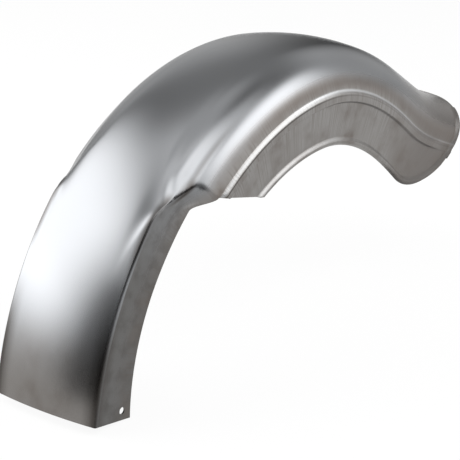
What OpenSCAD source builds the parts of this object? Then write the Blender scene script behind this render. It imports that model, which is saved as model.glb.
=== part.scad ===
// Motorcycle rear fender: one deep-drawn steel shell, open below for the wheel.
// Built around the wheel axle. The sheet is worked out in side view as arcs, a section is
// set on each station of that line, and the finished grid gets its sheet thickness inward.
// Forward is -X, up is +Z, the two sides mirror about Y = 0. Lengths in mm, angles in degrees.

/* [Crown line] */
// outer radius of the crown about the wheel axle
crown_radius = 355; // [340:1:370]
// angle of the front end, ahead of the top
front_angle = 80; // [78:0.5:82]
// angle behind the top where the straight run of the tail starts
tail_angle = 30.5; // [28:0.5:33]
// length of the straight run
tail_straight = 64; // [50:1:80]
// radius of the upturned end of the tail
flip_radius = 295; // [260:5:400]
// angle turned by the upturned end
flip_angle = 17; // [12:0.5:20]

/* [Section] */
// half width over the side walls
half_width = 88; // [80:1:100]
// radius of the crown across the wide part
wide_crown = 240; // [200:10:400]
// radius of the shoulder of the wide part
wide_shoulder = 54; // [48:1:60]
// half width over the front flanges
flange_half_width = 63.5; // [58:0.5:70]
// radius of the crown across the front part
front_crown = 400; // [300:10:600]
// radius of the corner between the crown and the front flange
front_corner = 4.5; // [3:0.5:10]
// radius that the corner softens to above the step
soft_corner = 24; // [16:1:32]
// depth of the crease that the corner leaves in the wide part
crease_depth = 1.7; // [0:0.1:3]
// steel sheet thickness
sheet = 1.5; // [1.2:0.1:2.5]

/* [Sides] */
// depth of the rib's upper line, and of the flange's free edge, under the crown
rib_drop = 46.3; // [40:0.1:56]
// how much further the rib's line drops from the top of the wheel to the tail
rib_fall = 12.3; // [8:0.1:16]
// how much deeper the flange gets toward the front end
flange_flare = 8; // [0:0.5:12]
// height of the pressed rib
rib_height = 14.5; // [12:0.5:20]
// height of the rib's upper slope
rib_slope = 5; // [4:0.5:8]
// how far the rib stands out of the wall
rib_out = 3.2; // [2:0.2:5]
// depth of the side panel's lower edge under the crown at the top of the wheel
edge_drop = 106.6; // [96:0.1:116]
// how much deeper the panel is just ahead of the tail's corner
edge_dip = 16.7; // [10:0.1:20]
// height of the beaded lower edge
bead_height = 9.5; // [8:0.5:14]
// height of the bead's upper slope
bead_slope = 5; // [4:0.5:7]
// how far the beaded edge stands out of the panel
bead_out = 3; // [2:0.5:5]
// how far the panel leans in from the rib to the bead
panel_lean = 5.6; // [0:0.1:8]
// angle where the wide wall starts at the free edge
step_angle = 41.6; // [40:0.1:43]
// angle where the wide wall reaches full width
wall_angle = 37.7; // [36:0.1:39]
// angle where the level cut meets the lower edge
cut_angle = 25.9; // [24:0.1:28]

/* [Tail] */
// angle of the rear end of the side panel
end_angle = 55.8; // [54:0.1:58]
// angle where the rounded lower corner starts
corner_angle = 39.5; // [37:0.5:42]
// height of the rounded lower corner
corner_rise = 79; // [70:1:86]

/* [Front holes] */
// diameter of the hole in each front flange
hole_diameter = 7; // [5:0.5:9]
// angle of the hole ahead of the top
hole_angle = 78.3; // [75:0.1:78.5]
// depth of the hole under the crown
hole_drop = 41.1; // [30:0.1:44]

/* [Show] */
// node to draw

/* [Hidden] */

// small helpers
function clamp01(t) = min(1, max(0, t));
function ease(t) = let(u = clamp01(t)) u * u * (3 - 2 * u);
// straight slope from 0 to 1 with a short fillet at each end
function bevel(t) = let(u = clamp01(t), e = 0.16)
    u < e ? u * u / (2 * e * (1 - e))
    : u > 1 - e ? 1 - pow(1 - u, 2) / (2 * e * (1 - e)) : (u - e / 2) / (1 - e);
function mix(a, b, t) = a + (b - a) * t;

// crown line in side view: [x, z, fall of the heading]
line_a = [crown_radius * sin(tail_angle), crown_radius * cos(tail_angle)];
line_b = line_a + tail_straight * [cos(tail_angle), -sin(tail_angle)];
flip_hub = line_b + flip_radius * [sin(tail_angle), cos(tail_angle)];
run_arc = crown_radius * tail_angle * PI / 180;
run_end = run_arc + tail_straight + flip_radius * flip_angle * PI / 180;
function crown_at(s) =
    s <= run_arc
        ? let(a = s / crown_radius * 180 / PI) [crown_radius * sin(a), crown_radius * cos(a), a]
    : s <= run_arc + tail_straight
        ? let(q = line_a + (s - run_arc) * [cos(tail_angle), -sin(tail_angle)]) [q[0], q[1], tail_angle]
    : let(a = tail_angle - (s - run_arc - tail_straight) / flip_radius * 180 / PI)
        [flip_hub[0] - flip_radius * sin(a), flip_hub[1] - flip_radius * cos(a), a];
// crown station that belongs to a wall angle
function run_of(a) = a <= tail_angle ? crown_radius * a * PI / 180
    : mix(run_arc, run_end, (a - tail_angle) / (end_angle - tail_angle));

// side lines as radii about the axle
rib_radius = crown_radius - rib_drop;
edge_radius = crown_radius - edge_drop;
hole_radius = crown_radius - hole_drop;
function rib_top(a) = rib_radius - rib_fall * ease(a / 36)
    + (a > 36 ? 0.107 * pow(a - 36, 2) : 0) - (a < -55 ? flange_flare * pow((-55 - a) / 26, 2) : 0);
function panel_edge(a) =
    edge_radius - edge_dip * ease(a / corner_angle)
    + (a > corner_angle
        ? corner_rise * (1 - sqrt(max(0, 1 - pow((a - corner_angle) / (end_angle - corner_angle), 2)))) : 0);
// level cut from the free edge of the flange down to the lower edge
cut_a = [-rib_radius * sin(wall_angle), rib_radius * cos(wall_angle)];
cut_b = [-edge_radius * sin(cut_angle), edge_radius * cos(cut_angle)];
function cut_radius(a) = let(d = cut_b - cut_a)
    (cut_a[0] * d[1] - cut_a[1] * d[0]) / (sin(a) * d[1] - cos(a) * d[0]);
function end_radius(a) = a <= -wall_angle ? rib_top(a) : a < -cut_angle ? cut_radius(a) : panel_edge(a);

// half sections as [half width, depth under the crown], f runs from the crown to the wall
function arch(w, rc, rs) = let(yc = w - rs)
    [yc, rc - sqrt(pow(rc - rs, 2) - yc * yc), asin(yc / (rc - rs))];
wide = arch(half_width, wide_crown, wide_shoulder);
function corner_at(a) = mix(front_corner, soft_corner, ease((a + 46) / 12));
function on_arch(q, rc, rs, l) = let(l1 = rc * q[2] * PI / 180)
    l <= l1 ? let(a = l / rc * 180 / PI) [rc * sin(a), rc * (1 - cos(a))]
    : let(a = q[2] + (l - l1) / rs * 180 / PI) [q[0] + rs * sin(a), q[1] - rs * cos(a)];
crown_share = 0.6;
function arch_length(q, rc, rs) = (rc * q[2] + rs * (90 - q[2])) * PI / 180;
wide_length = 0.58 * arch_length(wide, wide_crown, wide_shoulder);
function wide_wall(d) = d >= wide[1] ? half_width
    : wide[0] + sqrt(max(0, pow(wide_shoulder, 2) - pow(wide[1] - d, 2)));

// how far the section has grown from the slim front part to the wide part
function grown(a, f) = let(
    a0 = mix(-58, -48, ease((f - 0.42) / 0.15)) + 4.2 * ease((f - 0.55) / 0.2)
        + (43.8 - step_angle) * ease((f - 0.78) / 0.22),
    a1 = mix(4, -41.5, ease((f - 0.2) / 0.38)) + (41.5 - wall_angle) * ease((f - 0.57) / 0.19))
    ease((a - a0) / (a1 - a0));
// depth of the crease that runs back from the flange's corner along the shoulder
function crease(a, f) = crease_depth * ease(1 - abs(f - 0.62) / (f < 0.62 ? 0.12 : 0.07))
    * ease((a + 43) / 5) * ease((-20 - a) / 16);

// pressed shapes of the side: distance out of the plain panel
function rib_shape(a, r) = let(t = rib_top(a) - r)
    ease((a + wall_angle) / 1.5) * ease((end_angle - 3 - a) / 7)
    * rib_out * bevel(t / rib_slope) * (1 - bevel((t - rib_height + 2) / 2));
// distance of a panel point from the lower or rear edge
function edge_gap(a, r) = let(
    low = r - panel_edge(a),
    u = clamp01((a - corner_angle) / (end_angle - corner_angle)),
    slope = corner_rise * u / sqrt(max(0.0004, 1 - u * u)) / (end_angle - corner_angle) * 180 / PI / r)
    a <= corner_angle ? low : min(low / sqrt(1 + slope * slope), r * (end_angle - a) * PI / 180);
function bead_shape(a, r) = let(g = edge_gap(a, r))
    bead_out * bevel((bead_height - g) / bead_slope) - bead_out * pow(clamp01(1 - g / 3), 2);
function lean(a, r) = panel_lean
    * clamp01((rib_top(a) - rib_height - r) / (rib_radius - rib_height - edge_radius));

// stations along the fender and rows down each side
stations = concat(
    [for (i = [0:8]) mix(-front_angle, -53, i / 8)],
    [for (i = [1:16]) mix(-53, -36, i / 16)],
    [for (i = [1:8]) mix(-36, -25, i / 8)],
    [for (i = [1:6]) mix(-25, 0, i / 6)],
    [for (i = [1:8]) mix(0, corner_angle, i / 8)],
    [for (i = [1:13]) corner_angle + (end_angle - corner_angle) * sin(90 * i / 13)]);
crown_rows = 8;
wall_rows = 4;
side_rows = [0, 1, rib_slope - 1, rib_slope, rib_height - 2, rib_height];
bead_rows = [bead_height, bead_height - 1, bead_height - bead_slope + 1, bead_height - bead_slope, 2, 1, 0];
low_rows = len(side_rows) + len(bead_rows);

// outer surface of one side at station a: list of [x, half width, z]
function row_of(a) = let(
    c = crown_at(run_of(a)), nx = sin(c[2]), nz = cos(c[2]),
    corner = corner_at(a),
    slim = arch(flange_half_width, front_crown, corner),
    slim_length = arch_length(slim, front_crown, corner),
    shoulder_w = on_arch(wide, wide_crown, wide_shoulder, wide_length),
    shoulder_s = on_arch(slim, front_crown, corner, slim_length),
    depth = mix(shoulder_s[1], shoulder_w[1], grown(a, crown_share)),
    top = [c[0] - depth * nx, c[1] - depth * nz],
    rt = rib_top(a), rp = rt * [sin(a), cos(a)],
    reach = norm(rp - top), top_r = norm(top),
    re = end_radius(a), gap = mix(35, 9, ease((a + 45) / 5)) / (wall_rows + low_rows))
    concat(
        [for (i = [0:crown_rows]) let(
            s = sin(90 * i / crown_rows),
            f = crown_share * s,
            pw = on_arch(wide, wide_crown, wide_shoulder, wide_length * s),
            ps = on_arch(slim, front_crown, corner, slim_length * s),
            p = mix(ps, pw, grown(a, f)))
            [c[0] - p[1] * nx, p[0] - crease(a, f), c[1] - p[1] * nz]],
        [for (i = [1:wall_rows + low_rows]) let(
            k = i - wall_rows - 1,
            rn = k < 0 ? mix(top_r, rt, pow(i / (wall_rows + 1), 1.4))
                : k < len(side_rows) ? rt - side_rows[k] : panel_edge(a) + bead_rows[k - len(side_rows)],
            rr = max(rn, re + (wall_rows + low_rows - i) * gap),
            t = min(1, (top_r - rr) / (top_r - rt)),
            f = crown_share + (1 - crown_share) * t,
            low = rr < rt,
            q = low ? rr * [sin(a), cos(a)] : mix(top, rp, t),
            plain = wide_wall(depth + reach * t) - (low ? lean(a, rr) : 0),
            pressed = (low ? rib_shape(a, rr) : 0)
                + (a > -cut_angle - 12 ? bead_shape(a, rr) * ease((a + cut_angle + 12) / 3) : 0))
            [q[0], mix(flange_half_width, plain, grown(a, f)) - crease(a, f) + pressed, q[1]]]);

half_grid = [for (a = stations) row_of(a)];
last = len(half_grid[0]) - 1;
// full outer grid, left edge to right edge
outer = [for (r = half_grid) concat(
    [for (j = [last:-1:0]) [r[j][0], -r[j][1], r[j][2]]],
    [for (j = [1:last]) r[j]])];
ni = len(outer);
nj = len(outer[0]);
// inner grid: the outer one moved in by the sheet thickness
function normal(i, j) = let(
    u = outer[min(ni - 1, i + 1)][j] - outer[max(0, i - 1)][j],
    v = outer[i][min(nj - 1, j + 1)] - outer[i][max(0, j - 1)],
    n = cross(v, u)) n / norm(n);
inner = [for (i = [0:ni - 1]) [for (j = [0:nj - 1]) outer[i][j] + sheet * normal(i, j)]];

grid_points = concat([for (r = outer) for (p = r) p], [for (r = inner) for (p = r) p]);
function id(i, j, k) = k * ni * nj + i * nj + j;
// two triangles of a cell, with the diagonal mirrored from one side to the other
function quad(a, b, c, d, j) = j < (nj - 1) / 2 ? [[a, b, c], [a, c, d]] : [[b, c, d], [b, d, a]];
faces = concat(
    [for (i = [0:ni - 2]) for (j = [0:nj - 2])
        for (q = quad(id(i, j, 0), id(i, j + 1, 0), id(i + 1, j + 1, 0), id(i + 1, j, 0), j)) q],
    [for (i = [0:ni - 2]) for (j = [0:nj - 2])
        for (q = quad(id(i, j, 1), id(i + 1, j, 1), id(i + 1, j + 1, 1), id(i, j + 1, 1), j)) q],
    [for (i = [0:ni - 2])
        for (q = quad(id(i, 0, 0), id(i + 1, 0, 0), id(i + 1, 0, 1), id(i, 0, 1), 0)) q],
    [for (i = [0:ni - 2])
        for (q = quad(id(i, nj - 1, 1), id(i + 1, nj - 1, 1), id(i + 1, nj - 1, 0), id(i, nj - 1, 0), nj)) q],
    [for (j = [0:nj - 2])
        for (q = quad(id(0, j, 1), id(0, j + 1, 1), id(0, j + 1, 0), id(0, j, 0), j)) q],
    [for (j = [0:nj - 2])
        for (q = quad(id(ni - 1, j, 0), id(ni - 1, j + 1, 0), id(ni - 1, j + 1, 1), id(ni - 1, j, 1), j)) q]);

// the row's origin is the middle of the underside of the part's bounding box
low = [for (k = [0:2]) min([for (p = grid_points) p[k]])];
high = [for (k = [0:2]) max([for (p = grid_points) p[k]])];
axle = -[(low[0] + high[0]) / 2, 0, low[2]];
hole = axle + hole_radius * [-sin(hole_angle), 0, cos(hole_angle)];

// one pressed steel shell with a screw hole in each front flange
module fender() {
    color("silver")
    difference() {
        translate(axle) polyhedron(points = grid_points, faces = faces, convexity = 12);
        for (side = [-1, 1])
            translate(hole + [0, side * flange_half_width, 0])
                rotate([90, 0, 0])
                    cylinder(h = 12, d = hole_diameter, center = true, $fn = 64);
    }
}

fender();

echo(low = low, high = high, axle = axle, hole = hole, triangles = len(faces), stations = ni, columns = nj);
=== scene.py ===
"""Motorcycle rear fender in bare pressed steel, dressed for a studio view.

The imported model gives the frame. The shell is worked out here from the same driving sizes
as the solid, on a finer grid, and stands for the CAD node. Sizes of the shell are in
millimetres about the wheel axle, everything that Blender gets is in metres.
"""

import logging
import math
from dataclasses import dataclass, field
from enum import Enum
from functools import reduce

import bpy
import numpy as np
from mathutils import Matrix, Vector
from mathutils.kdtree import KDTree


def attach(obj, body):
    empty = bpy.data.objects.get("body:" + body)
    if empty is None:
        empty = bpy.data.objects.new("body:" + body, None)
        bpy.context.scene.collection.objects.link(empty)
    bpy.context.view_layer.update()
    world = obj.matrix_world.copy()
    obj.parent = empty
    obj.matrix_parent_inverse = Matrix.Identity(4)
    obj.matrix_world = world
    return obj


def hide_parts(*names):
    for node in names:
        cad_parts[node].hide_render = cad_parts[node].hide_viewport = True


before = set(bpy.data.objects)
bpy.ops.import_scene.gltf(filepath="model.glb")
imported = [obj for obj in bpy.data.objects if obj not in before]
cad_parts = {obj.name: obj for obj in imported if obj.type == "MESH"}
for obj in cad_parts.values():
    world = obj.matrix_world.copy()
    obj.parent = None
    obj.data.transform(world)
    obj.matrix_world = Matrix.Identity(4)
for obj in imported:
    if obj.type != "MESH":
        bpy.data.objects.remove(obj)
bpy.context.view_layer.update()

log = logging.getLogger("fender")

Tree = bpy.types.ShaderNodeTree
Socket = bpy.types.NodeSocket
Piece = bpy.types.Object
Colour = tuple[float, float, float, float]
Span = tuple[float, float]
Points = list[tuple[float, float, float, float]]

MM = 0.001
NODE = "fender"
IMAGE_SIDE = 460
FILLET_SHARE = 0.16
SMOOTH = {"interpolation_type": "SMOOTHSTEP"}
BEVEL_STOPS = (0, 0.08, 0.16, 0.4, 0.65, 0.84, 0.92, 1)


def clamp01(t: float) -> float:
    """Return t held between 0 and 1."""
    return min(1.0, max(0.0, t))


def ease(t: float) -> float:
    """Return the smooth step of t over 0 to 1."""
    u = clamp01(t)
    return u * u * (3 - 2 * u)


def ramp(value: float, low: float, high: float) -> float:
    """Return the smooth step of a value that goes from low to high, either way round."""
    return ease((value - low) / (high - low))


def bevel(t: float) -> float:
    """Return a straight slope with a short fillet at each end.

    Args:
        t: how far across the slope, 0 to 1.

    Returns:
        The height, 0 to 1.
    """
    u, e = clamp01(t), FILLET_SHARE
    if u < e:
        return u * u / (2 * e * (1 - e))
    if u > 1 - e:
        return 1 - (1 - u) ** 2 / (2 * e * (1 - e))
    return (u - e / 2) / (1 - e)


def mix(a: float, b: float, t: float) -> float:
    """Return the value t of the way from a to b."""
    return a + (b - a) * t


def deg_sin(a: float) -> float:
    """Return the sine of an angle in degrees."""
    return math.sin(math.radians(a))


def deg_cos(a: float) -> float:
    """Return the cosine of an angle in degrees."""
    return math.cos(math.radians(a))


def heading(azimuth: float, elevation: float) -> Vector:
    """Return the direction at an azimuth from +X to +Y and an elevation, in degrees."""
    flat = deg_cos(elevation)
    return Vector((flat * deg_cos(azimuth), flat * deg_sin(azimuth), deg_sin(elevation)))


def rim_loop(grid: np.ndarray) -> np.ndarray:
    """Return a grid's border entries, once round it."""
    return np.concatenate([grid[0, :-1], grid[:-1, -1], grid[-1, :0:-1], grid[:0:-1, 0]])


@dataclass(frozen=True)
class Arch:
    """Half section of a crown arc that runs into a shoulder arc."""

    half_width: float
    crown: float
    shoulder: float

    @property
    def hub_y(self) -> float:
        """Return the half width at which the shoulder's hub stands."""
        return self.half_width - self.shoulder

    @property
    def hub_depth(self) -> float:
        """Return the depth of the shoulder's hub under the crown."""
        return self.crown - math.sqrt((self.crown - self.shoulder) ** 2 - self.hub_y**2)

    @property
    def turn(self) -> float:
        """Return the angle at which the crown arc meets the shoulder arc."""
        return math.degrees(math.asin(self.hub_y / (self.crown - self.shoulder)))

    @property
    def length(self) -> float:
        """Return the arc length from the middle to the upright wall."""
        shoulder = math.radians(90 - self.turn) * self.shoulder
        return math.radians(self.turn) * self.crown + shoulder

    def at(self, run: float) -> tuple[float, float]:
        """Return a point of the half section.

        Args:
            run: arc length from the middle of the crown.

        Returns:
            Half width and depth under the crown.
        """
        crown_run = math.radians(self.turn) * self.crown
        if run <= crown_run:
            a = math.degrees(run / self.crown)
            return self.crown * deg_sin(a), self.crown * (1 - deg_cos(a))
        a = self.turn + math.degrees((run - crown_run) / self.shoulder)
        y = self.hub_y + self.shoulder * deg_sin(a)
        return y, self.hub_depth - self.shoulder * deg_cos(a)

    def wall(self, depth: float) -> float:
        """Return the half width at a depth, which stays full below the shoulder's hub."""
        reach = self.shoulder**2 - max(0.0, self.hub_depth - depth) ** 2
        return self.hub_y + math.sqrt(max(0.0, reach))


@dataclass
class ShellForm:
    """The pressed shell's form, in millimetres and degrees about the wheel axle.

    The values are those of the part's source, so the dressed shell has the solid's form.
    Only slim_corner differs: it is 4.5 there, and 1.8 here for a line as crisp as the real.
    A place on the half section is 0 at the crown and 1 at the rib's line.
    """

    crown_radius: float = 355
    front_angle: float = 80
    tail_angle: float = 30.5
    tail_straight: float = 64
    flip_radius: float = 295
    flip_angle: float = 17
    wide: Arch = Arch(88, 240, 54)
    slim_half_width: float = 63.5
    slim_crown: float = 400
    slim_corner: float = 1.8
    soft_corner: float = 24
    soften_angles: Span = (-46, -34)
    sheet: float = 1.5
    rib_drop: float = 46.3
    rib_fall: float = 12.3
    rib_turn: float = 36
    rib_rise: float = 0.107
    flange_flare: float = 8
    flare_angle: float = -55
    flare_span: float = 26
    rib_height: float = 14.5
    rib_slope: float = 5
    rib_foot: float = 2
    rib_out: float = 3.2
    rib_start: float = 1.5
    rib_end: Span = (3, 10)
    edge_drop: float = 106.6
    edge_dip: float = 16.7
    bead_height: float = 9.5
    bead_slope: float = 5
    bead_out: float = 3
    bead_return: float = 3
    bead_lead: Span = (12, 9)
    panel_lean: float = 5.6
    step_angle: float = 41.6
    wall_angle: float = 37.7
    cut_angle: float = 25.9
    end_angle: float = 55.8
    corner_angle: float = 39.5
    corner_rise: float = 79
    corner_limit: float = 0.0004
    crown_share: float = 0.6
    shoulder_share: float = 0.58
    crown_growth: Span = (-58, 4)
    shoulder_growth: Span = (-48, -41.5)
    wall_start: float = -43.8
    start_places: tuple[Span, Span, Span] = ((0.42, 0.57), (0.55, 0.75), (0.78, 1))
    end_places: tuple[Span, Span] = ((0.2, 0.58), (0.57, 0.76))
    crease_depth: float = 1.7
    crease_place: float = 0.62
    crease_widths: Span = (0.12, 0.07)
    crease_rise: Span = (-43, -38)
    crease_fall: Span = (-20, -36)
    axle: Span = (16.714, -52.321)

    # How the grid is laid: its rows gather above a free edge and spread down the wall.
    stack_heights: Span = (35.0, 9.0)
    stack_angles: Span = (-45, -40)
    wall_spread: float = 1.4
    place_span: float = 60

    def __post_init__(self) -> None:
        """Work out the radii that follow from the crown's radius."""
        self.rib_radius = self.crown_radius - self.rib_drop
        self.edge_radius = self.crown_radius - self.edge_drop
        self.wide_run = self.wide.length * self.shoulder_share

    def slim(self, a: float) -> Arch:
        """Return the narrow section at angle a, whose corner softens past the step."""
        corner = mix(self.slim_corner, self.soft_corner, ramp(a, *self.soften_angles))
        return Arch(self.slim_half_width, self.slim_crown, corner)

    def crown_at(self, run: float) -> tuple[float, float, float]:
        """Return the crown line's point in side view.

        Args:
            run: arc length behind the top of the crown.

        Returns:
            x, z and the fall of the heading.
        """
        radius, flip = self.crown_radius, self.flip_radius
        arc = math.radians(self.tail_angle) * radius
        s, c = deg_sin(self.tail_angle), deg_cos(self.tail_angle)
        if run <= arc:
            a = math.degrees(run / radius)
            return radius * deg_sin(a), radius * deg_cos(a), a
        along = min(run - arc, self.tail_straight)
        x, z = radius * s + along * c, radius * c - along * s
        if run <= arc + self.tail_straight:
            return x, z, self.tail_angle
        a = self.tail_angle - math.degrees((run - arc - self.tail_straight) / flip)
        return x + flip * s - flip * deg_sin(a), z + flip * c - flip * deg_cos(a), a

    def run_of(self, a: float) -> float:
        """Return the crown's arc length that belongs to a station.

        Args:
            a: angle of the station.

        Returns:
            Arc length behind the top of the crown.
        """
        if a <= self.tail_angle:
            return math.radians(a) * self.crown_radius
        arc = math.radians(self.tail_angle) * self.crown_radius
        end = arc + self.tail_straight + math.radians(self.flip_angle) * self.flip_radius
        return mix(arc, end, (a - self.tail_angle) / (self.end_angle - self.tail_angle))

    def rib_top(self, a: float) -> float:
        """Return the radius of the rib's upper line.

        Args:
            a: angle of the station.

        Returns:
            The radius, which falls behind the step and rises again towards the tail.
        """
        r = self.rib_radius - self.rib_fall * ease(a / self.rib_turn)
        ahead, behind = max(0.0, self.flare_angle - a), max(0.0, a - self.rib_turn)
        return r + self.rib_rise * behind**2 - self.flange_flare * (ahead / self.flare_span) ** 2

    def panel_edge(self, a: float) -> float:
        """Return the radius of the side panel's lower edge.

        Args:
            a: angle of the station.

        Returns:
            The radius, which sweeps up round the rear corner.
        """
        u = max(0.0, (a - self.corner_angle) / (self.end_angle - self.corner_angle))
        rise = self.corner_rise * (1 - math.sqrt(max(0.0, 1 - u * u)))
        return self.edge_radius - self.edge_dip * ease(a / self.corner_angle) + rise

    def end_radius(self, a: float) -> float:
        """Return the radius at which the sheet ends.

        Args:
            a: angle of the station.

        Returns:
            The flange's edge, the straight cut behind the step or the panel's edge.
        """
        if a <= -self.wall_angle:
            return self.rib_top(a)
        if a >= -self.cut_angle:
            return self.panel_edge(a)
        ax = -self.rib_radius * deg_sin(self.wall_angle)
        az = self.rib_radius * deg_cos(self.wall_angle)
        dx = -self.edge_radius * deg_sin(self.cut_angle) - ax
        dz = self.edge_radius * deg_cos(self.cut_angle) - az
        return (ax * dz - az * dx) / (deg_sin(a) * dz - deg_cos(a) * dx)

    def grown(self, a: float, f: float) -> float:
        """Return how far the section has grown from the slim to the wide one.

        The crown grows slowly, the shoulder and wall abruptly at the step.

        Args:
            a: angle of the station.
            f: place on the half section.

        Returns:
            0 for the slim section, 1 for the wide one.
        """
        crown, shoulder = self.crown_growth, self.shoulder_growth
        at_shoulder, at_wall, at_rib = (ramp(f, *places) for places in self.start_places)
        start = mix(crown[0], shoulder[0], at_shoulder)
        start += (self.wall_start - shoulder[0]) * at_wall
        start += (-self.step_angle - self.wall_start) * at_rib
        at_shoulder, at_wall = (ramp(f, *places) for places in self.end_places)
        end = mix(crown[1], shoulder[1], at_shoulder)
        end += (-self.wall_angle - shoulder[1]) * at_wall
        return ramp(a, start, end)

    def crease(self, a: float, f: float) -> float:
        """Return the depth of the crease in the shoulder, behind the flange's corner.

        Args:
            a: angle of the station.
            f: place on the half section.

        Returns:
            The depth, greatest just behind the step.
        """
        width = self.crease_widths[0 if f < self.crease_place else 1]
        depth = self.crease_depth * ease(1 - abs(f - self.crease_place) / width)
        return depth * ramp(a, *self.crease_rise) * ramp(a, *self.crease_fall)

    def edge_gap(self, a: float, r: float) -> float:
        """Return the distance of a panel point from the lower or rear edge.

        Args:
            a: angle of the station.
            r: radius from the axle.

        Returns:
            The distance square to the edge.
        """
        low = r - self.panel_edge(a)
        span = self.end_angle - self.corner_angle
        u = clamp01((a - self.corner_angle) / span)
        steep = u / math.sqrt(max(self.corner_limit, 1 - u * u))
        slope = self.corner_rise * steep / math.radians(span) / r
        return min(low / math.hypot(1, slope), r * math.radians(self.end_angle - a))

    def relief(self, a: float, r: float) -> float:
        """Return how far the rib and the beaded edge stand out of the wall.

        Args:
            a: angle of the station.
            r: radius from the axle.

        Returns:
            The height, 0 on the plain wall and panel.
        """
        t = self.rib_top(a) - r
        first, last = self.end_angle - self.rib_end[0], self.end_angle - self.rib_end[1]
        k = ramp(a, -self.wall_angle, self.rib_start - self.wall_angle) * ramp(a, first, last)
        foot = bevel((t - self.rib_height + self.rib_foot) / self.rib_foot)
        rib = k * self.rib_out * bevel(t / self.rib_slope) * (1 - foot)
        start, full = (-self.cut_angle - lead for lead in self.bead_lead)
        if a <= start:
            return rib
        g = self.edge_gap(a, r)
        turned = self.bead_out * clamp01(1 - g / self.bead_return) ** 2
        bead = self.bead_out * bevel((self.bead_height - g) / self.bead_slope) - turned
        return rib + bead * ramp(a, start, full)

    def lean(self, a: float, r: float) -> float:
        """Return how far the panel leans in at radius r: 0 at the rib, most at the edge."""
        depth = self.rib_radius - self.rib_height - self.edge_radius
        return self.panel_lean * clamp01((self.rib_top(a) - self.rib_height - r) / depth)

    def crown_part(self, a: float, steps: int) -> Points:
        """Return the outer points of the crown and shoulder.

        Args:
            a: angle of the station.
            steps: number of steps, close together at the shoulder.

        Returns:
            List of (x, y, z, place).
        """
        cx, cz, fall = self.crown_at(self.run_of(a))
        nx, nz = deg_sin(fall), deg_cos(fall)
        slim = self.slim(a)
        points = []
        for i in range(steps + 1):
            t = deg_sin(90 * i / steps)
            f = self.crown_share * t
            g = self.grown(a, f)
            wide_y, wide_depth = self.wide.at(self.wide_run * t)
            slim_y, slim_depth = slim.at(slim.length * t)
            y = mix(slim_y, wide_y, g) - self.crease(a, f)
            depth = mix(slim_depth, wide_depth, g)
            points.append((cx - depth * nx, y, cz - depth * nz, f))
        return points

    def row(
        self, a: float, crown_rows: int, wall_rows: int, side: list[float], bead: list[float]
    ) -> Points:
        """Return one side's outer points at a station.

        Args:
            a: angle of the station.
            crown_rows: number of steps over the crown and shoulder.
            wall_rows: number of steps down the wall to the rib's line.
            side: distances under the rib's line, from the line down.
            bead: distances above the lower edge, down to 0.

        Returns:
            List of (x, y, z, place), with a place above 1 under the rib's line.
        """
        rows = self.crown_part(a, crown_rows)
        slim, grown = self.slim(a), self.grown(a, self.crown_share)
        sx, sz = rows[-1][0], rows[-1][2]
        s_depth = mix(slim.at(slim.length)[1], self.wide.at(self.wide_run)[1], grown)
        r_shoulder, r_rib = math.hypot(sx, sz), self.rib_top(a)
        rx, rz = r_rib * deg_sin(a), r_rib * deg_cos(a)
        reach = math.hypot(rx - sx, rz - sz)
        r_end = self.end_radius(a)
        count = wall_rows + len(side) + len(bead)
        gap = mix(*self.stack_heights, ramp(a, *self.stack_angles)) / count
        shares = [(i / (wall_rows + 1)) ** self.wall_spread for i in range(1, wall_rows + 1)]
        targets = [mix(r_shoulder, r_rib, share) for share in shares]
        targets += [r_rib - s for s in side] + [self.panel_edge(a) + b for b in bead]
        for i, target in enumerate(targets):
            r = max(target, r_end + (count - 1 - i) * gap)
            t = min(1.0, (r_shoulder - r) / (r_shoulder - r_rib))
            f = self.crown_share + (1 - self.crown_share) * t
            y = self.wide.wall(s_depth + reach * t)
            if r < r_rib:
                x, z = r * deg_sin(a), r * deg_cos(a)
                y -= self.lean(a, r)
            else:
                x, z = mix(sx, rx, t), mix(sz, rz, t)
            y = mix(self.slim_half_width, y, self.grown(a, f)) - self.crease(a, f)
            y += self.relief(a, r)
            rows.append((x, y, z, f + max(0.0, (r_rib - r) / self.place_span)))
        return rows


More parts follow.
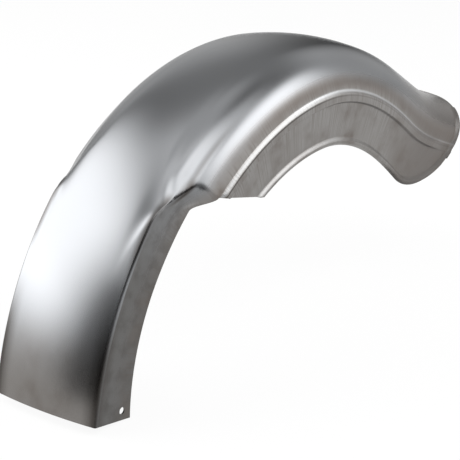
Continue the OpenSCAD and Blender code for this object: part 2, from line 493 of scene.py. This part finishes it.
@dataclass
class Shell:
    """The dressed fender: a fine mesh of the pressed shell that stands for the solid."""

    form: ShellForm = field(default_factory=ShellForm)
    crown_rows: int = 30
    wall_rows: int = 14
    station_angles: tuple[float, ...] = (-53, -36, -25, 0)
    station_counts: tuple[int, ...] = (26, 50, 24, 20, 32)
    tail_stations: int = 40
    rib_crest: tuple[float, ...] = (8, 9.5, 11)
    rib_foot_rows: int = 7
    rib_foot_step: float = 0.33
    under_rib: Span = (3, 8)
    over_bead: tuple[float, ...] = (14, 7, 2)
    bead_lip: tuple[float, ...] = (3, 2.4, 1.8, 1.2, 0.6, 0)
    hole_diameter: float = 7
    hole_angle: float = 78.3
    hole_radius: float = 313.9
    hole_sides: int = 48
    drill_depth: float = 12
    sharp_angle: float = 40
    edge_steps: int = 8

    def stations(self) -> list[float]:
        """Return the stations.

        Returns:
            Their angles from front to rear, close together where the form changes.
        """
        f = self.form
        ends = (-f.front_angle, *self.station_angles, f.corner_angle)
        out = [-f.front_angle]
        for start, end, count in zip(ends, ends[1:], self.station_counts):
            out += [mix(start, end, i / count) for i in range(1, count + 1)]
        span, count = f.end_angle - f.corner_angle, self.tail_stations
        out += [f.corner_angle + span * deg_sin(90 * i / count) for i in range(1, count + 1)]
        return out

    def grid(self) -> tuple[np.ndarray, np.ndarray]:
        """Return the outer grid.

        Returns:
            Points [station, column, 3] in millimetres from the axle, and the place on the
            section [station, column].
        """
        f = self.form
        foot = f.rib_height - f.rib_foot
        side = [f.rib_slope * k for k in BEVEL_STOPS] + list(self.rib_crest)
        side += [foot + self.rib_foot_step * i for i in range(self.rib_foot_rows)]
        side += [f.rib_height + below for below in self.under_rib]
        bead = [f.bead_height + above for above in self.over_bead]
        bead += [f.bead_height - f.bead_slope * k for k in BEVEL_STOPS] + list(self.bead_lip)
        rows = [f.row(a, self.crown_rows, self.wall_rows, side, bead) for a in self.stations()]
        far = np.array(rows)
        both = np.concatenate([far[:, ::-1] * np.array([1, -1, 1, 1]), far[:, 1:]], axis=1)
        return both[..., :3], both[..., 3]

    def faces(self, index: np.ndarray) -> np.ndarray:
        """Return the faces of the outer skin, the inner skin and the rim between them.

        Args:
            index: numbers of the outer points [station, column]. The inner ones follow them.

        Returns:
            Point numbers [face, 4].
        """
        a, b, c, d = index[:-1, :-1], index[:-1, 1:], index[1:, 1:], index[1:, :-1]
        outer = np.stack([a, d, c, b], -1).reshape(-1, 4)
        loop = rim_loop(index)
        ahead = np.roll(loop, -1)
        rim = np.stack([loop, ahead, ahead + index.size, loop + index.size], -1)
        return np.concatenate([outer, outer[:, ::-1] + index.size, rim])

    def sheet_lines(self, outer: np.ndarray, place: np.ndarray) -> np.ndarray:
        """Return the sheet's own coordinates of the outer points.

        Args:
            outer: the outer grid [station, column, 3] in millimetres.
            place: place on the section [station, column].

        Returns:
            Run along the sheet and run down it in metres, and place [point, 3].
        """
        rows, columns = place.shape
        run = np.array([self.form.run_of(a) for a in self.stations()])
        down = np.linalg.norm(np.diff(outer, axis=1), axis=2)
        down = np.concatenate([np.zeros((rows, 1)), np.cumsum(down, axis=1)], axis=1)
        down -= down[:, columns // 2 : columns // 2 + 1]
        lines = np.stack([np.repeat(run[:, None], columns, 1), down, place], -1)
        return lines.reshape(-1, 3) * np.array([MM, MM, 1])

    def edge_distance(self, outer: np.ndarray) -> np.ndarray:
        """Return how far each point lies from the free edge of the sheet.

        Args:
            outer: the outer grid [station, column, 3] in millimetres.

        Returns:
            Distance of each point in millimetres.
        """
        loop = rim_loop(outer)
        ahead = np.roll(loop, -1, axis=0)
        tree = KDTree(len(loop) * self.edge_steps)
        for i, (start, end) in enumerate(zip(loop, ahead)):
            for k in range(self.edge_steps):
                tree.insert(start + (end - start) * k / self.edge_steps, i)
        tree.balance()
        return np.array([tree.find(point)[2] for point in outer.reshape(-1, 3)])

    def mark_lines(
        self, shell: Piece, points: np.ndarray, lines: np.ndarray, edge: np.ndarray
    ) -> None:
        """Give each vertex the sheet's own coordinates, which steer the finish.

        Args:
            shell: the drilled shell.
            points: grid points in metres.
            lines: run along the sheet, run down it and place on the section of each point.
            edge: distance of each point from the free edge, in metres.
        """
        tree = KDTree(len(points))
        for i, point in enumerate(points):
            tree.insert(point, i)
        tree.balance()
        near = [tree.find(vertex.co)[1] for vertex in shell.data.vertices]
        attribute = shell.data.attributes.new("sheet_lines", "FLOAT_VECTOR", "POINT")
        attribute.data.foreach_set("vector", lines[near].astype(np.float32).ravel())
        attribute = shell.data.attributes.new("edge_distance", "FLOAT", "POINT")
        attribute.data.foreach_set("value", edge[near].astype(np.float32))

    def drill(self, shell: Piece) -> None:
        """Cut the screw hole of each front flange.

        Args:
            shell: the closed shell, at the frame's origin.
        """
        x = self.form.axle[0] - self.hole_radius * deg_sin(self.hole_angle)
        z = self.form.axle[1] + self.hole_radius * deg_cos(self.hole_angle)
        for side in (-1, 1):
            bpy.ops.mesh.primitive_cylinder_add(
                vertices=self.hole_sides,
                radius=self.hole_diameter / 2 * MM,
                depth=self.drill_depth * MM,
                location=(x * MM, side * self.form.slim_half_width * MM, z * MM),
                rotation=(math.pi / 2, 0, 0),
            )
            drill = bpy.context.object
            cut = shell.modifiers.new("hole", "BOOLEAN")
            cut.operation, cut.solver, cut.object = "DIFFERENCE", "EXACT", drill
            bpy.context.view_layer.objects.active = shell
            bpy.ops.object.modifier_apply(modifier=cut.name)
            bpy.data.objects.remove(drill, do_unlink=True)

    def build(self) -> Piece:
        """Build the shell.

        Returns:
            A closed mesh with its two screw holes and the sheet's own coordinates.
        """
        outer, place = self.grid()
        normal = np.cross(np.gradient(outer, axis=1), np.gradient(outer, axis=0))
        normal /= np.linalg.norm(normal, axis=2, keepdims=True)
        inner = outer + self.form.sheet * normal
        points = np.concatenate([outer.reshape(-1, 3), inner.reshape(-1, 3)])
        points = (points + np.array([self.form.axle[0], 0, self.form.axle[1]])) * MM
        faces = self.faces(np.arange(place.size).reshape(place.shape))
        mesh = bpy.data.meshes.new("shell")
        mesh.from_pydata(points.tolist(), [], faces.tolist())
        mesh.update()
        shell = bpy.data.objects.new("fender_shell", mesh)
        bpy.context.scene.collection.objects.link(shell)
        self.drill(shell)
        lines = self.sheet_lines(outer, place)
        edge = self.edge_distance(outer) * MM
        self.mark_lines(shell, points, np.concatenate([lines, lines]), np.tile(edge, 2))
        for polygon in shell.data.polygons:
            polygon.use_smooth = True
        shell.data.set_sharp_from_angle(angle=math.radians(self.sharp_angle))
        return shell


def socket_group(
    name: str, inputs: dict[str, float | tuple], output: str
) -> tuple[Tree, bpy.types.NodeOutputs, Socket]:
    """Make a shader node group with named sockets.

    Args:
        name: name of the group.
        inputs: default of each input. One with three values makes a vector.
        output: name of the one output.

    Returns:
        The tree, the sockets that give its inputs and the socket that takes its output.
    """
    tree = bpy.data.node_groups.new(name, "ShaderNodeTree")
    for key, default in inputs.items():
        kind = "NodeSocketVector" if isinstance(default, tuple) else "NodeSocketFloat"
        socket = tree.interface.new_socket(key, in_out="INPUT", socket_type=kind)
        socket.default_value = default
    tree.interface.new_socket(output, in_out="OUTPUT", socket_type="NodeSocketFloat")
    given = tree.nodes.new("NodeGroupInput").outputs
    return tree, given, tree.nodes.new("NodeGroupOutput").inputs[output]


def add_node(
    tree: Tree, kind: str, settings: dict | None = None, values: dict | None = None
) -> bpy.types.Node:
    """Return a new node with its settings and inputs.

    Args:
        tree: the node tree that gets it.
        kind: type of the node.
        settings: values of its properties.
        values: a value, or a socket to link from, for each input.

    Returns:
        The node.
    """
    node = tree.nodes.new(kind)
    for key, value in (settings or {}).items():
        setattr(node, key, value)
    for key, value in (values or {}).items():
        if isinstance(value, Socket):
            tree.links.new(value, node.inputs[key])
        else:
            node.inputs[key].default_value = value
    return node


def math_node(tree: Tree, operation: str, *values: Socket | float, clamp: bool = False) -> Socket:
    """Return the output of a Math node on the sockets or numbers given."""
    settings = {"operation": operation, "use_clamp": clamp}
    return add_node(tree, "ShaderNodeMath", settings, dict(enumerate(values))).outputs[0]


def blend_node(
    tree: Tree, factor: Socket | float, a: Socket | Colour, b: Socket | Colour
) -> Socket:
    """Return the colour that goes from a to b with the factor."""
    values = {0: factor, 6: a, 7: b}
    return add_node(tree, "ShaderNodeMix", {"data_type": "RGBA"}, values).outputs[2]


def ramp_node(tree: Tree, value: Socket, low: Socket | float, high: Socket | float) -> Socket:
    """Return the smooth step of a value from low, where it is 0, to high."""
    values = {"Value": value, "From Min": low, "From Max": high}
    return add_node(tree, "ShaderNodeMapRange", SMOOTH, values).outputs["Result"]


class Grain(Enum):
    """How the fine lines of the sheet run: lines per metre along and down it, and detail."""

    ALONG = (4.0, 240.0, 0.0)
    DOWN = (620.0, 12.0, 1.5)


def grain_group() -> Tree:
    """Make the group that gives fine drawn lines on the sheet's own coordinates.

    Returns:
        The group, with the output Height.
    """
    inputs = {"Lines": (0, 0, 0), "Along": 1.0, "Down": 1.0, "Detail": 1.5}
    tree, given, height = socket_group("drawn_grain", inputs, "Height")
    values = {0: given["Along"], 1: given["Down"], 2: 0.0}
    scale = add_node(tree, "ShaderNodeCombineXYZ", values=values).outputs[0]
    values = {0: given["Lines"], 1: scale}
    place = add_node(tree, "ShaderNodeVectorMath", {"operation": "MULTIPLY"}, values).outputs[0]
    values = {"Vector": place, "Scale": 1.0, "Detail": given["Detail"], "Roughness": 0.5}
    noise = add_node(tree, "ShaderNodeTexNoise", values=values)
    tree.links.new(noise.outputs["Fac"], height)
    return tree


def stain_group() -> Tree:
    """Make the group that gives cloudy stains of the bare sheet.

    Returns:
        The group, with the output Mask.
    """
    inputs = {"Scale": 12.0, "Low": 0.4, "High": 0.7}
    tree, given, mask = socket_group("sheet_stain", inputs, "Mask")
    where = add_node(tree, "ShaderNodeTexCoord").outputs["Object"]
    values = {"Vector": where, "Scale": given["Scale"], "Detail": 3.0, "Roughness": 0.55}
    noise = add_node(tree, "ShaderNodeTexNoise", values=values).outputs["Fac"]
    tree.links.new(ramp_node(tree, noise, given["Low"], given["High"]), mask)
    return tree


def line_group() -> Tree:
    """Make the group that marks a soft line at one value of a coordinate.

    Returns:
        The group, with the output Mask.
    """
    inputs = {"Value": 0.0, "Centre": 0.0, "Width": 0.01}
    tree, given, mask = socket_group("soft_line", inputs, "Mask")
    off = math_node(tree, "SUBTRACT", given["Value"], given["Centre"])
    away = math_node(tree, "ABSOLUTE", off)
    tree.links.new(ramp_node(tree, away, given["Width"], 0.0), mask)
    return tree


@dataclass(frozen=True)
class Line:
    """A soft line along the sheet, at one place on the section or distance from its edge.

    It rises from 0 to 1 over each span of run listed, and share is its full strength.
    """

    centre: float
    width: float
    rises: tuple[Span, ...] = ()
    share: float = 1.0


@dataclass(frozen=True)
class Stain:
    """A cloudy stain: clouds per metre, the noise values of none and full, its strength."""

    scale: float
    low: float
    high: float
    share: float = 1.0


@dataclass
class SheetMasks:
    """Masks that follow the sheet's own coordinates, as nodes of one material."""

    tree: Tree

    def __post_init__(self) -> None:
        """Read the sheet's coordinates and make the shared groups."""
        self.lines = self.attribute("sheet_lines", "Vector")
        self.edge = self.attribute("edge_distance", "Fac")
        parts = add_node(self.tree, "ShaderNodeSeparateXYZ", values={0: self.lines}).outputs
        self.run, self.place = parts["X"], parts["Z"]
        self.stain, self.grain, self.line = stain_group(), grain_group(), line_group()

    def attribute(self, name: str, output: str) -> Socket:
        """Return an output of the node that reads one of the shell's attributes."""
        settings = {"attribute_name": name}
        return add_node(self.tree, "ShaderNodeAttribute", settings).outputs[output]

    def group(self, tree: Tree, values: dict) -> Socket:
        """Return the output of a shared group with its inputs set."""
        return add_node(self.tree, "ShaderNodeGroup", {"node_tree": tree}, values).outputs[0]

    def times(self, *factors: Socket | float) -> Socket:
        """Return the product of masks and shares."""
        return reduce(lambda a, b: math_node(self.tree, "MULTIPLY", a, b), factors)

    def most(self, *masks: Socket) -> Socket:
        """Return the greatest of some masks."""
        return reduce(lambda a, b: math_node(self.tree, "MAXIMUM", a, b), masks)

    def lifted(self, mask: Socket, share: float, base: Socket | float) -> Socket:
        """Return a share of a mask on top of a base."""
        return math_node(self.tree, "MULTIPLY_ADD", mask, share, base)

    def along(self, span: Span) -> Socket:
        """Return the step from 0 to 1 over a span of run, in metres behind the top."""
        return ramp_node(self.tree, self.run, *span)

    def across(self, span: Span) -> Socket:
        """Return the step from 0 to 1 over a span of places on the section."""
        return ramp_node(self.tree, self.place, *span)

    def stains(self, stain: Stain) -> Socket:
        """Return the mask of a stain, at its strength."""
        values = {"Scale": stain.scale, "Low": stain.low, "High": stain.high}
        return self.times(self.group(self.stain, values), stain.share)

    def grains(self, kind: Grain) -> Socket:
        """Return the height of the drawn lines that run one way."""
        values = dict(zip(("Along", "Down", "Detail"), kind.value))
        return self.group(self.grain, {"Lines": self.lines, **values})

    def mark(self, line: Line, value: Socket | None = None) -> Socket:
        """Return the mask of a soft line, at its strength.

        Args:
            line: the line.
            value: the coordinate that it lies on, or none for the place.

        Returns:
            The mask's socket.
        """
        where = self.place if value is None else value
        values = {"Value": where, "Centre": line.centre, "Width": line.width}
        rises = [self.along(rise) for rise in line.rises]
        return self.times(self.group(self.line, values), *rises, line.share)


@dataclass(frozen=True)
class Zones:
    """Masks of the sheet's parts, 1 inside and 0 outside, and the height of its scratches."""

    side: Socket
    tail: Socket
    foot: Socket
    flange: Socket
    rim: Socket
    tail_bead: Socket
    scratch: Socket


@dataclass(frozen=True)
class BareSteel:
    """Bare drawn sheet steel: satin and cool on the crown, grained and brown on the sides.

    Places are shares of the half section and runs are metres behind the top of the crown.
    """

    clean: Colour = (0.24, 0.246, 0.255, 1)
    warm: Colour = (0.262, 0.255, 0.247, 1)
    flange: Colour = (0.138, 0.136, 0.133, 1)
    # Brown of the real stains and the aged foot, also laid as painted shade on the wall under the
    # shoulder.
    brown_stain_and_shade: Colour = (0.12, 0.1, 0.086, 1)
    dull: Colour = (0.13, 0.118, 0.109, 1)
    # Dark tone of the real grime on the flange's blotches and the tail's rim, and of the painted
    # shade lines and the painted dark reflection along the front corner.
    grime_and_shade: Colour = (0.055, 0.049, 0.044, 1)
    # Lighter tone painted on the rib's upper slope as a highlight.
    slope_highlight: Colour = (0.34, 0.34, 0.34, 1)
    # Bright tone of the painted highlight lines on the rib's crest and on the bead.
    painted_highlight: Colour = (0.55, 0.56, 0.57, 1)
    crown_roughness: float = 0.25
    side_roughness: float = 0.36
    dirt_roughness: float = 0.35
    bump_strength: float = 0.35
    bump_distance: float = 0.0005

    side_places: Span = (0.74, 0.98)
    tail_runs: Span = (0.16, 0.3)
    tail_share: float = 0.95
    tail_age: float = 0.75
    tail_film: float = 0.3
    foot_runs: Span = (-0.4, -0.49)
    foot_places: Span = (0.6, 0.55)
    foot_share: float = 0.3
    foot_soil: float = 0.55
    flange_runs: Span = (-0.235, -0.265)
    flange_places: Span = (0.6, 0.63)
    flange_dark_runs: Span = (-0.28, -0.36)
    flange_dark: Span = (0.45, 0.55)
    rim_distances: Span = (0.006, 0.002)
    rim_runs: Span = (0.16, 0.24)
    rim_share: float = 0.9

    small_clouds: Stain = Stain(34.0, 0.42, 0.8, 0.9)
    large_clouds: Stain = Stain(11.0, 0.4, 0.85)
    cloud_share: float = 0.65
    crown_clouds: float = 0.02
    flange_blotches: Stain = Stain(75.0, 0.35, 0.75, 0.4)
    streak_heights: Span = (0.42, 0.7)
    streak_share: float = 0.5
    along_share: float = 0.3

    # Painted shade: dark lines under the rib's bright slope and at the rib's foot, where the steps
    # lie in shade.
    rib_step_shades: tuple[Line, Line] = (Line(1.1, 0.022), Line(1.228, 0.026))
    step_shade_front: Span = (0.06, -0.08)
    step_shade_depth: Span = (0.6, 0.4)
    step_shade_end: Span = (-0.26, -0.24)
    step_shade_share: float = 0.85
    # Painted shade: a dark band under the lip where the shoulder overhangs the flange.
    lip_shade: Line = Line(0.675, 0.06, ((-0.28, -0.262), (-0.232, -0.246)), 0.9)
    # Painted dark reflection: a broad dark band along the front crown's near corner.
    corner: Line = Line(0.575, 0.16, ((-0.37, -0.44),), 0.7)
    shade: Line = Line(0.91, 0.13, ((-0.2, -0.08),), 0.6)
    # Painted shade in the crease behind the step.
    groove_shade: Line = Line(0.66, 0.035, ((-0.255, -0.235), (-0.14, -0.2)), 0.45)
    # Painted shade along the crown's bend into the flange, which dims the highlight streak there.
    bend_shade: Line = Line(0.575, 0.06, ((-0.258, -0.27),), 0.75)
    bend_shade_runs: tuple[Span, Span] = ((-0.36, -0.32), (-0.4, -0.45))
    # Painted highlight: a lighter band on the rib's upper slope, ahead of the tail.
    rib_slope_highlight: Line = Line(1.045, 0.05, ((0.1, -0.05),))
    # Painted highlight: a thin bright line along the rib's crest, fading towards the tail.
    crest_highlight: Line = Line(1.02, 0.035, ((-0.12, 0.0),))
    crest_highlight_rear: Span = (0.3, 0.16)
    crest_highlight_strength: Span = (0.6, 0.2)
    # Painted highlight: a bright line along the bead, ahead of the tail.
    bead: Line = Line(1.89, 0.05, ((0.12, 0.0),), 0.3)
    tail_bead: Line = Line(0.007, 0.004, ((0.24, 0.29),))
    tail_bead_share: float = 0.7
    fold: Line = Line(0.594, 0.028, ((-0.3, -0.42),))

    def zones(self, masks: SheetMasks) -> Zones:
        """Return the masks of the sheet's parts.

        Args:
            masks: maker of the masks.

        Returns:
            The masks.
        """
        rim = ramp_node(masks.tree, masks.edge, *self.rim_distances)
        return Zones(
            side=masks.across(self.side_places),
            tail=masks.along(self.tail_runs),
            foot=masks.times(masks.along(self.foot_runs), masks.across(self.foot_places)),
            flange=masks.times(masks.along(self.flange_runs), masks.across(self.flange_places)),
            rim=masks.times(rim, masks.along(self.rim_runs)),
            tail_bead=masks.mark(self.tail_bead, masks.edge),
            scratch=masks.grains(Grain.DOWN),
        )

    def sheet_colour(self, masks: SheetMasks, zones: Zones) -> Socket:
        """Return the colour of the sheet with its broad tones and stains.

        Args:
            masks: maker of the masks.
            zones: masks of the sheet's parts.

        Returns:
            The colour's socket.
        """
        tree = masks.tree
        aged = masks.most(zones.side, masks.times(zones.tail, self.tail_age))
        colour = blend_node(tree, masks.most(aged, zones.foot), self.clean, self.warm)
        dark = masks.lifted(masks.along(self.flange_dark_runs), *self.flange_dark)
        colour = blend_node(tree, masks.times(zones.flange, dark), colour, self.flange)
        colour = blend_node(tree, masks.times(zones.foot, self.foot_share), colour, self.brown_stain_and_shade)
        colour = blend_node(tree, masks.times(zones.tail, self.tail_share), colour, self.dull)
        blotches = masks.times(masks.stains(self.flange_blotches), zones.flange)
        colour = blend_node(tree, blotches, colour, self.grime_and_shade)
        clouds = math_node(
            tree, "ADD", masks.stains(self.small_clouds), masks.stains(self.large_clouds)
        )
        soiled = masks.most(aged, masks.times(zones.foot, self.foot_soil))
        soiled = masks.lifted(soiled, self.cloud_share, self.crown_clouds)
        streaks = ramp_node(tree, zones.scratch, *self.streak_heights)
        streaks = masks.times(streaks, zones.side, self.streak_share)
        stains = masks.most(masks.times(clouds, soiled), streaks)
        return blend_node(tree, stains, colour, self.brown_stain_and_shade)

    def shade_lines(self, masks: SheetMasks, colour: Socket) -> Socket:
        """Return the colour with painted shade lines and a painted dark reflection on it.

        Args:
            masks: maker of the masks.
            colour: colour of the sheet.

        Returns:
            The colour's socket.
        """
        tree = masks.tree
        # Painted shade in the rib's two steps, strongest at the front and kept off the flange.
        rib_step_shades = masks.most(*map(masks.mark, self.rib_step_shades))
        front = masks.lifted(masks.along(self.step_shade_front), *self.step_shade_depth)
        rib_step_shades = masks.times(rib_step_shades, front, masks.along(self.step_shade_end), self.step_shade_share)
        stretches = masks.most(*map(masks.along, self.bend_shade_runs))
        bend_shade = masks.times(masks.mark(self.bend_shade), stretches)
        colour = blend_node(tree, rib_step_shades, colour, self.grime_and_shade)
        # Painted shade under the lip, on the wall and in the crease, and a painted dark reflection
        # along the front corner.
        for line in (self.lip_shade, self.corner, self.shade, self.groove_shade):
            over = self.brown_stain_and_shade if line is self.shade else self.grime_and_shade
            colour = blend_node(tree, masks.mark(line), colour, over)
        return blend_node(tree, bend_shade, colour, self.grime_and_shade)

    def wear_and_highlights(self, masks: SheetMasks, zones: Zones, colour: Socket) -> Socket:
        """Return the colour with the painted highlights on the crests and the dirty rim on it.

        Args:
            masks: maker of the masks.
            zones: masks of the sheet's parts.
            colour: colour of the stained sheet with its painted shade.

        Returns:
            The colour's socket.
        """
        tree = masks.tree
        colour = blend_node(tree, masks.mark(self.rib_slope_highlight), colour, self.slope_highlight)
        rear = masks.lifted(masks.along(self.crest_highlight_rear), *self.crest_highlight_strength)
        # Painted highlights on the rib's crest and on the bead.
        crest_highlight = masks.times(masks.mark(self.crest_highlight), rear)
        bright = masks.most(crest_highlight, masks.mark(self.bead))
        colour = blend_node(tree, bright, colour, self.painted_highlight)
        colour = blend_node(tree, masks.times(zones.rim, self.rim_share), colour, self.grime_and_shade)
        tail_bead = masks.times(zones.tail_bead, self.tail_bead_share)
        return blend_node(tree, tail_bead, colour, self.grime_and_shade)

    def build(self) -> bpy.types.Material:
        """Build the material.

        Returns:
            The material, which reads the shell's attributes sheet_lines and edge_distance.
        """
        material = bpy.data.materials.new("bare_steel")
        material.use_nodes = True
        tree = material.node_tree
        shader = tree.nodes["Principled BSDF"]
        masks = SheetMasks(tree)
        zones = self.zones(masks)
        colour = self.shade_lines(masks, self.sheet_colour(masks, zones))
        tree.links.new(self.wear_and_highlights(masks, zones, colour), shader.inputs["Base Color"])
        rougher = self.side_roughness - self.crown_roughness
        rough = masks.lifted(zones.side, rougher, self.crown_roughness)
        dirty = masks.most(zones.rim, masks.mark(self.fold))
        rough = masks.lifted(dirty, self.dirt_roughness, rough)
        tree.links.new(rough, shader.inputs["Roughness"])
        film = masks.most(masks.times(zones.tail, self.tail_film), zones.rim, zones.tail_bead)
        tree.links.new(math_node(tree, "SUBTRACT", 1.0, film), shader.inputs["Metallic"])
        along = masks.times(masks.grains(Grain.ALONG), zones.side, self.along_share)
        height = math_node(tree, "ADD", masks.times(zones.scratch, zones.side), along)
        values = {"Height": height, "Strength": self.bump_strength, "Distance": self.bump_distance}
        bump = add_node(tree, "ShaderNodeBump", values=values)
        tree.links.new(bump.outputs["Normal"], shader.inputs["Normal"])
        return material


@dataclass(frozen=True)
class Lamp:
    """A soft rectangular lamp that looks at the middle of the fender.

    Angles are in degrees as in `heading`, reach and size in metres. A face of glow 1 is white.
    """

    name: str
    azimuth: float
    elevation: float
    reach: float
    size: Span
    glow: float
    fading_share: float = 0.7
    look_at: tuple[float, float, float] = (0, 0, 0.15)

    def fade(self, tree: Tree, side: Socket) -> Socket:
        """Return the fade over one side of the face, from 0 at its ends to 1."""
        away = math_node(tree, "ABSOLUTE", math_node(tree, "MULTIPLY_ADD", side, 2.0, -1.0))
        return ramp_node(tree, away, 1.0, 1.0 - self.fading_share)

    def build(self) -> None:
        """Add the lamp, whose face fades towards its edges as a diffuser does."""
        light = bpy.data.lights.new(self.name, "AREA")
        light.shape, light.size, light.size_y = "RECTANGLE", *self.size
        light.energy = self.glow * math.pi * self.size[0] * self.size[1]
        light.use_nodes = True
        tree = light.node_tree
        face = add_node(tree, "ShaderNodeNewGeometry").outputs["Parametric"]
        sides = add_node(tree, "ShaderNodeSeparateXYZ", values={0: face}).outputs
        glow = math_node(tree, "MULTIPLY", self.fade(tree, sides["X"]), self.fade(tree, sides["Y"]))
        tree.links.new(glow, tree.nodes["Emission"].inputs["Strength"])
        lamp = bpy.data.objects.new(self.name, light)
        way = heading(self.azimuth, self.elevation)
        lamp.location = Vector(self.look_at) + way * self.reach
        lamp.rotation_euler = way.to_track_quat("Z", "Y").to_euler()
        bpy.context.scene.collection.objects.link(lamp)


@dataclass
class Studio:
    """Pale floor, dark card, soft lamps and the camera, whose azimuth is 0 in front of -Y."""

    floor_side: float = 30.0
    floor_white: float = 0.92
    paper: Colour = (0.93, 0.93, 0.93, 1)
    paper_roughness: float = 0.9
    cloth: Colour = (0.02, 0.02, 0.02, 1)
    card_place: tuple[float, float, float] = (-0.75, -0.16, 0.22)
    card_size: Span = (0.5, 0.82)
    dusk: Colour = (0.05, 0.05, 0.05, 1)
    azimuth: float = -53.23
    elevation: float = 19.48
    distance: float = 1.4511
    focal_pixels: float = 1357.0
    sensor_width: float = 36.0
    target: tuple[float, float, float] = (-0.0388, 0.0, 0.104)
    lamps: tuple[Lamp, ...] = (
        Lamp("front_soft", 120, 29, 2.2, (3.3, 2.7), 4.1),
        Lamp("front_low", 122, 6, 2.6, (4.0, 1.8), 1.0),
        Lamp("front_top", 128, 60, 2.4, (2.2, 1.6), 0.8),
        Lamp("side_strip", -60, 34, 2.2, (2.7, 1.3), 4.3),
        Lamp("side_top", -78, 58, 2.4, (2.5, 1.4), 1.35),
        Lamp("side_high", -106, 50, 2.4, (2.0, 1.6), 2.2),
        Lamp("side_low", -62, 8, 2.8, (4.6, 1.8), 1.3),
        Lamp("top_soft", 140, 85, 2.6, (3.2, 3.0), 1.0),
        Lamp("near_top", -140, 66, 2.5, (2.6, 1.8), 1.1),
        Lamp("rear_fill", -14, 22, 3.0, (5.0, 3.6), 0.7),
        Lamp("rear_top", 28, 54, 3.0, (5.6, 3.2), 0.42),
        Lamp("far_fill", 56, 19, 2.8, (3.4, 2.5), 0.7),
    )

    def matt(self, name: str, colour: Colour, roughness: float) -> bpy.types.Material:
        """Return a plain matt material of the studio.

        Args:
            name: name of the material.
            colour: its colour.
            roughness: its roughness.

        Returns:
            The material.
        """
        material = bpy.data.materials.new(name)
        material.use_nodes = True
        shader = material.node_tree.nodes["Principled BSDF"]
        shader.inputs["Base Color"].default_value = colour
        shader.inputs["Roughness"].default_value = roughness
        return material

    def floor(self) -> Piece:
        """Build the white floor, which keeps the object's shadow.

        Returns:
            The floor, as stage.
        """
        bpy.ops.mesh.primitive_plane_add(size=self.floor_side, location=(0, 0, 0))
        floor = bpy.context.object
        floor.name = "floor"
        material = self.matt("white_floor", self.paper, self.paper_roughness)
        tree = material.node_tree
        paper = tree.nodes["Principled BSDF"].outputs[0]
        glow = {"Color": (1, 1, 1, 1), "Strength": 1.0}
        white = add_node(tree, "ShaderNodeEmission", values=glow).outputs[0]
        path = add_node(tree, "ShaderNodeLightPath").outputs
        seen = math_node(tree, "ADD", path["Is Camera Ray"], path["Is Glossy Ray"], clamp=True)
        seen = math_node(tree, "ADD", seen, path["Is Transmission Ray"], clamp=True)
        share = math_node(tree, "MULTIPLY", seen, self.floor_white)
        mixer = add_node(tree, "ShaderNodeMixShader", values={0: share, 1: paper, 2: white})
        tree.links.new(mixer.outputs[0], tree.nodes["Material Output"].inputs["Surface"])
        floor.data.materials.append(material)
        return floor

    def card(self) -> Piece:
        """Build the dark card ahead of the fender.

        Returns:
            The card, as stage. It is seen only as the dark line along the front corner.
        """
        bpy.ops.mesh.primitive_plane_add(
            size=1, location=self.card_place, rotation=(0, math.pi / 2, 0)
        )
        card = bpy.context.object
        card.name = "dark_card"
        card.scale = (*self.card_size, 1)
        card.visible_camera = card.visible_shadow = card.visible_diffuse = False
        card.data.materials.append(self.matt("dark_cloth", self.cloth, 1.0))
        return card

    def lights(self) -> None:
        """Add the lamps and the dim world."""
        for lamp in self.lamps:
            lamp.build()
        world = bpy.data.worlds.new("studio")
        world.use_nodes = True
        background = world.node_tree.nodes["Background"]
        background.inputs["Color"].default_value = self.dusk
        background.inputs["Strength"].default_value = 1.0
        bpy.context.scene.world = world

    def camera(self) -> Piece:
        """Build the camera.

        Returns:
            The scene's camera, at the photograph's viewing angle.
        """
        data = bpy.data.cameras.new("camera")
        data.sensor_width = self.sensor_width
        data.lens = self.focal_pixels / IMAGE_SIDE * self.sensor_width
        camera = bpy.data.objects.new("camera", data)
        look = -heading(self.azimuth - 90, self.elevation)
        camera.location = Vector(self.target) - look * self.distance
        camera.rotation_euler = look.to_track_quat("-Z", "Y").to_euler()
        bpy.context.scene.collection.objects.link(camera)
        bpy.context.scene.camera = camera
        return camera


def main() -> None:
    """Build the fender and its studio."""
    logging.basicConfig(level=logging.INFO, format="%(name)s: %(message)s")
    shell = Shell().build()
    shell.data.materials.append(BareSteel().build())
    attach(shell, "root")
    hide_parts(NODE)
    log.info("%s: %d faces", shell.name, len(shell.data.polygons))
    studio = Studio()
    for piece in (studio.floor(), studio.card(), studio.camera()):
        log.info("%s: %s", piece.name, piece.type.lower())
    studio.lights()
    log.info("%d lamps", len(studio.lamps))
    bpy.context.scene.view_settings.view_transform = "Standard"


if __name__ == "__main__":
    main()
